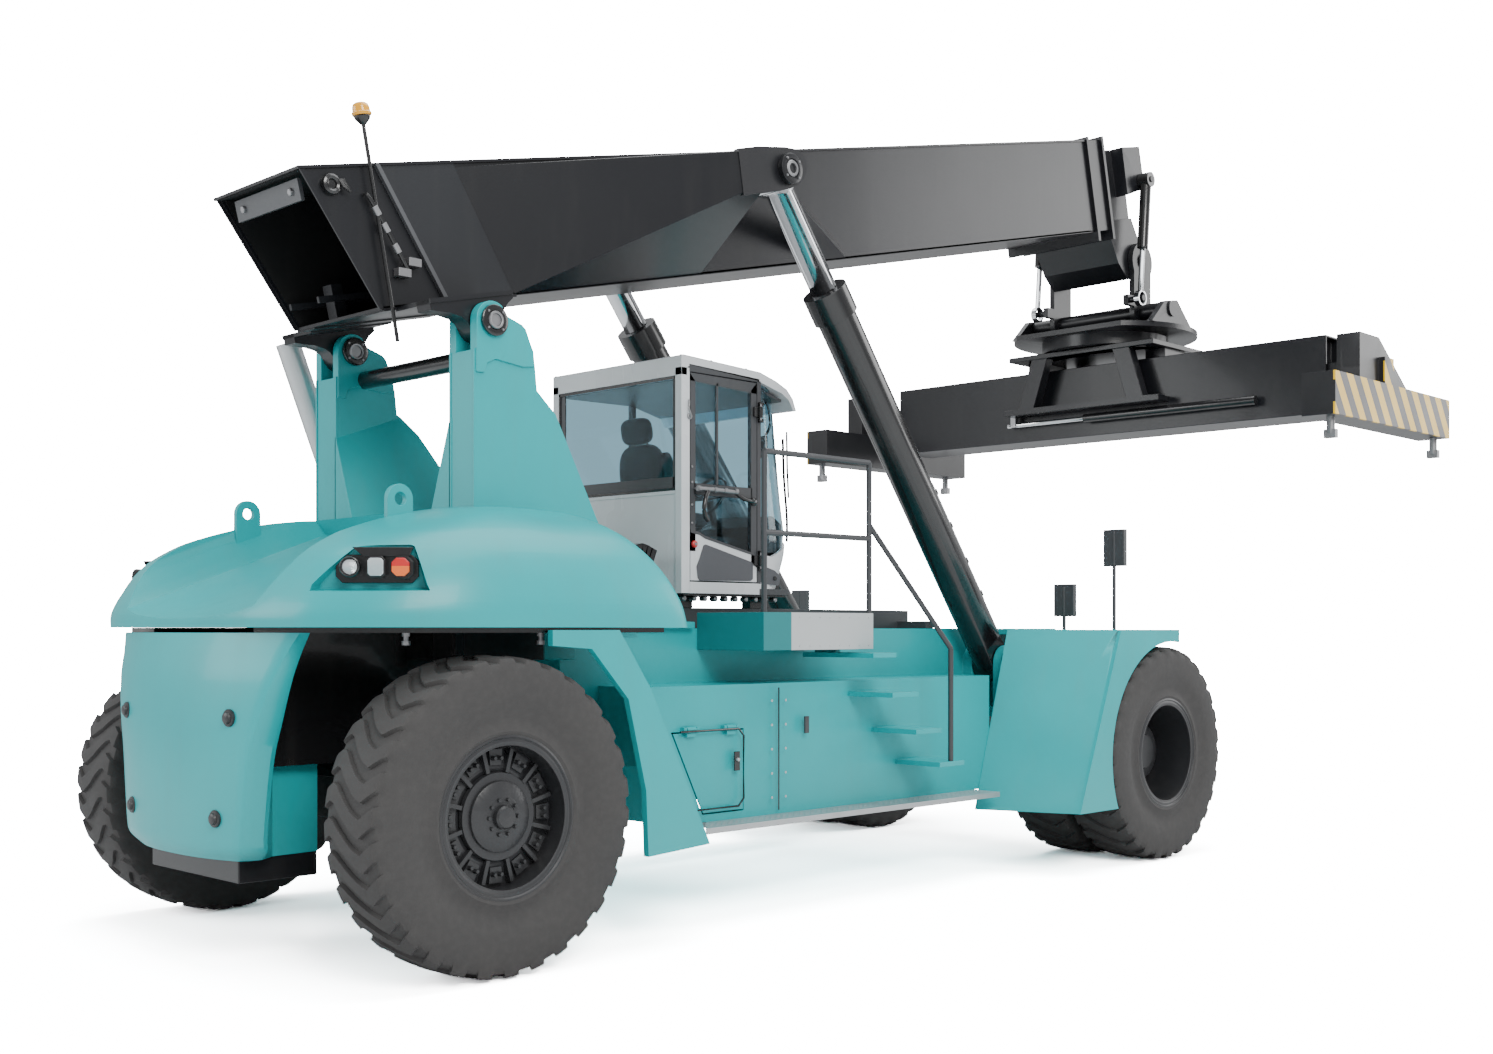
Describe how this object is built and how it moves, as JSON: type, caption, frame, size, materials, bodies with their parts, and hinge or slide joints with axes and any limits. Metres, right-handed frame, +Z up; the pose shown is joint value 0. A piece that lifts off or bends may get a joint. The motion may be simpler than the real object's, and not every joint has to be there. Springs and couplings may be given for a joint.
{
  "type": "container reach stacker",
  "caption": "Container reach stacker: telescopic boom on lift cylinders, slewing extendable spreader with twist-locks, sliding cab, steered rear wheels, twin driven front wheels.",
  "frame": {"origin": "on the ground under the middle of the whole machine's length and width, boom retracted and 13.4 degrees above level", "axes": "+X forward towards the spreader, +Y to the machine's left, +Z up"},
  "size_m": [11.44, 6.06, 6.799],
  "materials": {
    "teal_paint": "glossy turquoise machine paint",
    "boom_paint": "satin dark anthracite paint",
    "black_paint": "glossy black cylinder paint",
    "chrome_rod": "hard chromed rod",
    "cab_silver": "light silver paint",
    "dark_frame": "dark grey paint",
    "glass_blue": "blue tinted glass",
    "tyre_rubber": "worn block-tread rubber",
    "rim_grey": "grey wheel paint",
    "axle_grey": "painted casting",
    "galvanised": "silver sheet with a chequered top",
    "lock_steel": "bare machined steel",
    "lamp_plastic": "clear and amber lenses on a black plate",
    "beacon_amber": "amber lens",
    "seat_fabric": "black cloth seat and console"
  },
  "bodies": {
    "chassis": {"chassis_frame": "teal_paint", "side_box_left": "teal_paint", "side_box_right": "teal_paint", "counterweight": "teal_paint", "ballast_box": "boom_paint", "engine_block": "dark_frame", "hood": "teal_paint", "rear_lamps": "lamp_plastic", "towers": "teal_paint", "tower_cross_tube": "black_paint", "rear_fenders": "teal_paint", "front_fenders": "teal_paint", "walkways": "galvanised", "cab_platform": "galvanised", "access_steps": "teal_paint", "handrails": "teal_paint", "cab_rails": "dark_frame", "mirrors": "dark_frame", "exhaust_stack": "galvanised", "front_axle": "axle_grey", "rear_axle": "axle_grey"},
    "hatch": {"side_hatch": "teal_paint"},
    "steer_left": {"knuckle_left": "axle_grey"},
    "steer_right": {"knuckle_right": "axle_grey"},
    "wheel_front_left": {"front_left_tyre": "tyre_rubber", "front_left_rim": "rim_grey"},
    "wheel_front_right": {"front_right_tyre": "tyre_rubber", "front_right_rim": "rim_grey"},
    "wheel_rear_left": {"rear_left_tyre": "tyre_rubber", "rear_left_rim": "rim_grey"},
    "wheel_rear_right": {"rear_right_tyre": "tyre_rubber", "rear_right_rim": "rim_grey"},
    "boom": {"outer_boom": "boom_paint", "beacon": "beacon_amber"},
    "boom_extension": {"inner_boom": "boom_paint"},
    "lift_cylinder_left": {"lift_barrel_left": "black_paint"},
    "lift_cylinder_right": {"lift_barrel_right": "black_paint"},
    "lift_piston_left": {"lift_rod_left": "chrome_rod"},
    "lift_piston_right": {"lift_rod_right": "chrome_rod"},
    "head": {"tilt_head": "boom_paint"},
    "damper_left": {"damper_barrel_left": "black_paint"},
    "damper_right": {"damper_barrel_right": "black_paint"},
    "damper_piston_left": {"damper_rod_left": "chrome_rod"},
    "damper_piston_right": {"damper_rod_right": "chrome_rod"},
    "turning_frame": {"side_shift_frame": "boom_paint", "shift_rod": "chrome_rod"},
    "beam": {"spreader_beam": "boom_paint", "shift_barrel": "black_paint"},
    "beam_end_left": {"end_beam_left": "boom_paint"},
    "beam_end_right": {"end_beam_right": "boom_paint"},
    "lock_rear_left": {"twistlock_rear_left": "lock_steel"},
    "lock_rear_right": {"twistlock_rear_right": "lock_steel"},
    "lock_front_left": {"twistlock_front_left": "lock_steel"},
    "lock_front_right": {"twistlock_front_right": "lock_steel"},
    "cab": {"cab_shell": "cab_silver", "cab_glass": "glass_blue", "cab_seat": "seat_fabric"},
    "door": {"cab_door": "dark_frame", "door_glass": "glass_blue"}
  },
  "joints": [
    {"name": "boom_luff", "type": "hinge", "parent": "chassis", "child": "boom", "pos_m": [-4.05, 0, 3.845], "axis": [0, -1, 0], "range_deg": [-13.4, 46.6]},
    {"name": "boom_telescope", "type": "slide", "parent": "boom", "child": "boom_extension", "axis": [-0.9728, 0, -0.2317], "range_m": [-6, 0]},
    {"name": "lift_swing_left", "type": "hinge", "parent": "chassis", "child": "lift_cylinder_left", "pos_m": [1.02, 1.05, 1.66], "axis": [0, -1, 0], "range_deg": [-0.96, 3.32]},
    {"name": "lift_stroke_left", "type": "slide", "parent": "lift_cylinder_left", "child": "lift_piston_left", "axis": [-0.6054, 0, 0.7959], "range_m": [-0.61588, 2.12824]},
    {"name": "lift_swing_right", "type": "hinge", "parent": "chassis", "child": "lift_cylinder_right", "pos_m": [1.02, -1.05, 1.66], "axis": [0, -1, 0], "range_deg": [-0.96, 3.32]},
    {"name": "lift_stroke_right", "type": "slide", "parent": "lift_cylinder_right", "child": "lift_piston_right", "axis": [-0.6054, 0, 0.7959], "range_m": [-0.61588, 2.12824]},
    {"name": "head_level", "type": "hinge", "parent": "boom_extension", "child": "head", "pos_m": [4.37, 0, 5.67], "axis": [0, -1, 0], "range_deg": [-46.7, 13.5]},
    {"name": "damper_swing_left", "type": "hinge", "parent": "boom_extension", "child": "damper_left", "pos_m": [4.25, 0.61, 6.45], "axis": [0, -1, 0], "range_deg": [-16, 4.63]},
    {"name": "damper_stroke_left", "type": "slide", "parent": "damper_left", "child": "damper_piston_left", "axis": [-0.0913, 0, -0.9958], "range_m": [-0.21592, 0.06249]},
    {"name": "damper_swing_right", "type": "hinge", "parent": "boom_extension", "child": "damper_right", "pos_m": [4.25, -0.61, 6.45], "axis": [0, -1, 0], "range_deg": [-16, 4.63]},
    {"name": "damper_stroke_right", "type": "slide", "parent": "damper_right", "child": "damper_piston_right", "axis": [-0.0913, 0, -0.9958], "range_m": [-0.21592, 0.06249]},
    {"name": "spreader_slew", "type": "hinge", "parent": "head", "child": "turning_frame", "pos_m": [4.47, 0, 4.93], "axis": [0, 0, 1], "range_deg": [-105, 195]},
    {"name": "spreader_side_shift", "type": "slide", "parent": "turning_frame", "child": "beam", "axis": [0, 1, 0], "range_m": [-0.8, 0.8]},
    {"name": "spreader_extend_left", "type": "slide", "parent": "beam", "child": "beam_end_left", "axis": [0, 1, 0], "range_m": [0, 3.05]},
    {"name": "spreader_extend_right", "type": "slide", "parent": "beam", "child": "beam_end_right", "axis": [0, -1, 0], "range_m": [0, 3.05]},
    {"name": "lock_turn_rear_left", "type": "hinge", "parent": "beam_end_left", "child": "lock_rear_left", "pos_m": [3.3405, 2.9265, 3.59], "axis": [0, 0, 1], "range_deg": [0, 90]},
    {"name": "lock_turn_rear_right", "type": "hinge", "parent": "beam_end_right", "child": "lock_rear_right", "pos_m": [3.3405, -2.9265, 3.59], "axis": [0, 0, 1], "range_deg": [0, 90]},
    {"name": "lock_turn_front_left", "type": "hinge", "parent": "beam_end_left", "child": "lock_front_left", "pos_m": [5.5995, 2.9265, 3.59], "axis": [0, 0, 1], "range_deg": [0, 90]},
    {"name": "lock_turn_front_right", "type": "hinge", "parent": "beam_end_right", "child": "lock_front_right", "pos_m": [5.5995, -2.9265, 3.59], "axis": [0, 0, 1], "range_deg": [0, 90]},
    {"name": "steer_left", "type": "hinge", "parent": "chassis", "child": "steer_left", "pos_m": [-4.58, 1.37, 0.9], "axis": [0, 0, 1], "range_deg": [-50, 50]},
    {"name": "steer_right", "type": "hinge", "parent": "chassis", "child": "steer_right", "pos_m": [-4.58, -1.37, 0.9], "axis": [0, 0, 1], "range_deg": [-50, 50]},
    {"name": "roll_front_left", "type": "hinge", "parent": "chassis", "child": "wheel_front_left", "pos_m": [2.12, 1.83, 0.9], "axis": [0, 1, 0], "continuous": true},
    {"name": "roll_front_right", "type": "hinge", "parent": "chassis", "child": "wheel_front_right", "pos_m": [2.12, -1.83, 0.9], "axis": [0, 1, 0], "continuous": true},
    {"name": "roll_rear_left", "type": "hinge", "parent": "steer_left", "child": "wheel_rear_left", "pos_m": [-4.58, 1.57, 0.9], "axis": [0, 1, 0], "continuous": true},
    {"name": "roll_rear_right", "type": "hinge", "parent": "steer_right", "child": "wheel_rear_right", "pos_m": [-4.58, -1.57, 0.9], "axis": [0, 1, 0], "continuous": true},
    {"name": "cab_slide", "type": "slide", "parent": "chassis", "child": "cab", "axis": [-1, 0, 0], "range_m": [-1.4, 0]},
    {"name": "cab_door_swing", "type": "hinge", "parent": "cab", "child": "door", "pos_m": [-1.47, -0.74, 3], "axis": [0, 0, 1], "range_deg": [0, 80]},
    {"name": "side_hatch_lift", "type": "hinge", "parent": "chassis", "child": "hatch", "pos_m": [-2.58, -1.322, 1.285], "axis": [-1, 0, 0], "range_deg": [0, 95]}
  ],
  "couplings": [
    {"joint": "lift_swing_left", "follows": "boom_luff", "ratio": 0.071},
    {"joint": "lift_stroke_left", "follows": "boom_luff", "m_per_rad": 2.61},
    {"joint": "lift_swing_right", "follows": "boom_luff", "ratio": 0.071},
    {"joint": "lift_stroke_right", "follows": "boom_luff", "m_per_rad": 2.61},
    {"joint": "head_level", "follows": "boom_luff", "ratio": -1},
    {"joint": "damper_swing_left", "follows": "boom_luff", "ratio": -0.3425},
    {"joint": "damper_stroke_left", "follows": "boom_luff", "m_per_rad": -0.2648},
    {"joint": "damper_swing_right", "follows": "boom_luff", "ratio": -0.3425},
    {"joint": "damper_stroke_right", "follows": "boom_luff", "m_per_rad": -0.2648},
    {"joint": "spreader_extend_right", "follows": "spreader_extend_left", "ratio": 1},
    {"joint": "lock_turn_rear_right", "follows": "lock_turn_rear_left", "ratio": 1},
    {"joint": "lock_turn_front_left", "follows": "lock_turn_rear_left", "ratio": 1},
    {"joint": "lock_turn_front_right", "follows": "lock_turn_rear_left", "ratio": 1},
    {"joint": "steer_right", "follows": "steer_left", "ratio": 1}
  ]
}
